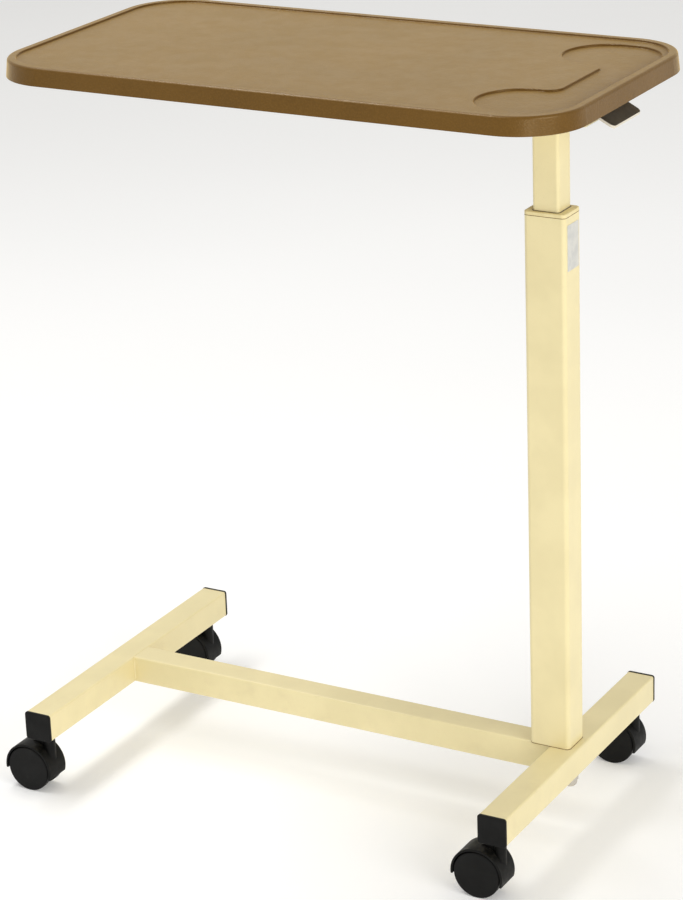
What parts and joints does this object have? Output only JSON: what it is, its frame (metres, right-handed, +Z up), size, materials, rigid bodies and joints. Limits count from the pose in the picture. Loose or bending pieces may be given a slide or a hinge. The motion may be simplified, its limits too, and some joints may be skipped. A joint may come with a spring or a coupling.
{
  "type": "overbed table",
  "caption": "Rolling height-adjustable overbed table with an H base, twin-wheel casters, a telescopic side mast, a squeeze lever and a lipped tray top.",
  "frame": {"origin": "on the floor under the middle of the table's bounding box", "axes": "+Z up, +X towards the mast end, +Y to the back; the table is symmetric about the XZ plane"},
  "size_m": [0.653, 0.362, 0.793],
  "materials": {
    "cream_coat": "semi-gloss cream powder coat",
    "cream_plastic": "satin cream",
    "tray_plastic": "fine pebble grain, brown",
    "black_plastic": "satin black",
    "wheel_plastic": "smooth black",
    "zinc_steel": "zinc plated",
    "chrome_rod": "hard chrome",
    "cylinder_black": "black enamel",
    "glide_nylon": "natural nylon",
    "lever_grey": "dark grey lacquer with worn bright edges",
    "label_film": "blank silver film"
  },
  "bodies": {
    "base": {"left_crossbar": "cream_coat", "right_crossbar": "cream_coat", "spar": "cream_coat", "front_left_end_cap": "black_plastic", "back_left_end_cap": "black_plastic", "front_right_end_cap": "black_plastic", "back_right_end_cap": "black_plastic", "front_left_stem_socket": "zinc_steel", "back_left_stem_socket": "zinc_steel", "front_right_stem_socket": "zinc_steel", "back_right_stem_socket": "zinc_steel", "front_left_caster_stem": "zinc_steel", "back_left_caster_stem": "zinc_steel", "front_right_caster_stem": "zinc_steel", "back_right_caster_stem": "zinc_steel", "mast_outer": "cream_coat", "mast_collar": "cream_plastic", "mast_foot": "zinc_steel", "mast_studs": "zinc_steel", "stud_spacers": "zinc_steel", "stud_washers": "zinc_steel", "stud_nuts": "zinc_steel", "blank_label": "label_film", "gas_spring_cylinder": "cylinder_black", "spring_lock_nut": "zinc_steel"},
    "table": {"mast_inner": "cream_coat", "lower_glide": "glide_nylon", "gas_spring_rod": "chrome_rod", "gas_spring_piston": "zinc_steel", "rod_nut": "zinc_steel", "head_bracket": "cream_coat", "front_rail": "cream_coat", "back_rail": "cream_coat", "cross_rail": "cream_coat", "rail_plugs": "black_plastic", "tabletop": "tray_plastic", "top_screws": "zinc_steel", "lever_pin": "zinc_steel"},
    "lever": {"release_lever": "lever_grey"},
    "pin": {"release_pin": "zinc_steel"},
    "front_left_caster": {"front_left_caster_hood": "black_plastic", "front_left_caster_axle": "zinc_steel"},
    "front_left_outer_wheel": {"front_left_wheel_outer": "wheel_plastic"},
    "front_left_inner_wheel": {"front_left_wheel_inner": "wheel_plastic"},
    "back_left_caster": {"back_left_caster_hood": "black_plastic", "back_left_caster_axle": "zinc_steel"},
    "back_left_outer_wheel": {"back_left_wheel_outer": "wheel_plastic"},
    "back_left_inner_wheel": {"back_left_wheel_inner": "wheel_plastic"},
    "front_right_caster": {"front_right_caster_hood": "black_plastic", "front_right_caster_axle": "zinc_steel"},
    "front_right_outer_wheel": {"front_right_wheel_outer": "wheel_plastic"},
    "front_right_inner_wheel": {"front_right_wheel_inner": "wheel_plastic"},
    "back_right_caster": {"back_right_caster_hood": "black_plastic", "back_right_caster_axle": "zinc_steel"},
    "back_right_outer_wheel": {"back_right_wheel_outer": "wheel_plastic"},
    "back_right_inner_wheel": {"back_right_wheel_inner": "wheel_plastic"}
  },
  "joints": [
    {"name": "height", "type": "slide", "parent": "base", "child": "table", "axis": [0, 0, 1], "range_m": [-0.085, 0.245]},
    {"name": "lever_squeeze", "type": "hinge", "parent": "table", "child": "lever", "pos_m": [0.2655, 0, 0.7685], "axis": [0, -1, 0], "range_deg": [0, 10], "stiffness_Nm_per_rad": 2, "springref_deg": -5.73},
    {"name": "pin_press", "type": "slide", "parent": "table", "child": "pin", "axis": [0, 0, -1], "range_m": [0, 0.0042]},
    {"name": "front_left_swivel", "type": "hinge", "parent": "base", "child": "front_left_caster", "pos_m": [-0.2775, -0.161, 0.05], "axis": [0, 0, 1], "continuous": true},
    {"name": "front_left_outer_roll", "type": "hinge", "parent": "front_left_caster", "child": "front_left_outer_wheel", "pos_m": [-0.298, -0.161, 0.025], "axis": [0, 1, 0], "continuous": true},
    {"name": "front_left_inner_roll", "type": "hinge", "parent": "front_left_caster", "child": "front_left_inner_wheel", "pos_m": [-0.298, -0.161, 0.025], "axis": [0, 1, 0], "continuous": true},
    {"name": "back_left_swivel", "type": "hinge", "parent": "base", "child": "back_left_caster", "pos_m": [-0.2775, 0.161, 0.05], "axis": [0, 0, 1], "continuous": true},
    {"name": "back_left_outer_roll", "type": "hinge", "parent": "back_left_caster", "child": "back_left_outer_wheel", "pos_m": [-0.298, 0.161, 0.025], "axis": [0, 1, 0], "continuous": true},
    {"name": "back_left_inner_roll", "type": "hinge", "parent": "back_left_caster", "child": "back_left_inner_wheel", "pos_m": [-0.298, 0.161, 0.025], "axis": [0, 1, 0], "continuous": true},
    {"name": "front_right_swivel", "type": "hinge", "parent": "base", "child": "front_right_caster", "pos_m": [0.2575, -0.161, 0.05], "axis": [0, 0, 1], "continuous": true},
    {"name": "front_right_outer_roll", "type": "hinge", "parent": "front_right_caster", "child": "front_right_outer_wheel", "pos_m": [0.237, -0.161, 0.025], "axis": [0, 1, 0], "continuous": true},
    {"name": "front_right_inner_roll", "type": "hinge", "parent": "front_right_caster", "child": "front_right_inner_wheel", "pos_m": [0.237, -0.161, 0.025], "axis": [0, 1, 0], "continuous": true},
    {"name": "back_right_swivel", "type": "hinge", "parent": "base", "child": "back_right_caster", "pos_m": [0.2575, 0.161, 0.05], "axis": [0, 0, 1], "continuous": true},
    {"name": "back_right_outer_roll", "type": "hinge", "parent": "back_right_caster", "child": "back_right_outer_wheel", "pos_m": [0.237, 0.161, 0.025], "axis": [0, 1, 0], "continuous": true},
    {"name": "back_right_inner_roll", "type": "hinge", "parent": "back_right_caster", "child": "back_right_inner_wheel", "pos_m": [0.237, 0.161, 0.025], "axis": [0, 1, 0], "continuous": true}
  ],
  "couplings": [
    {"joint": "pin_press", "follows": "lever_squeeze", "m_per_rad": 0.0235}
  ]
}
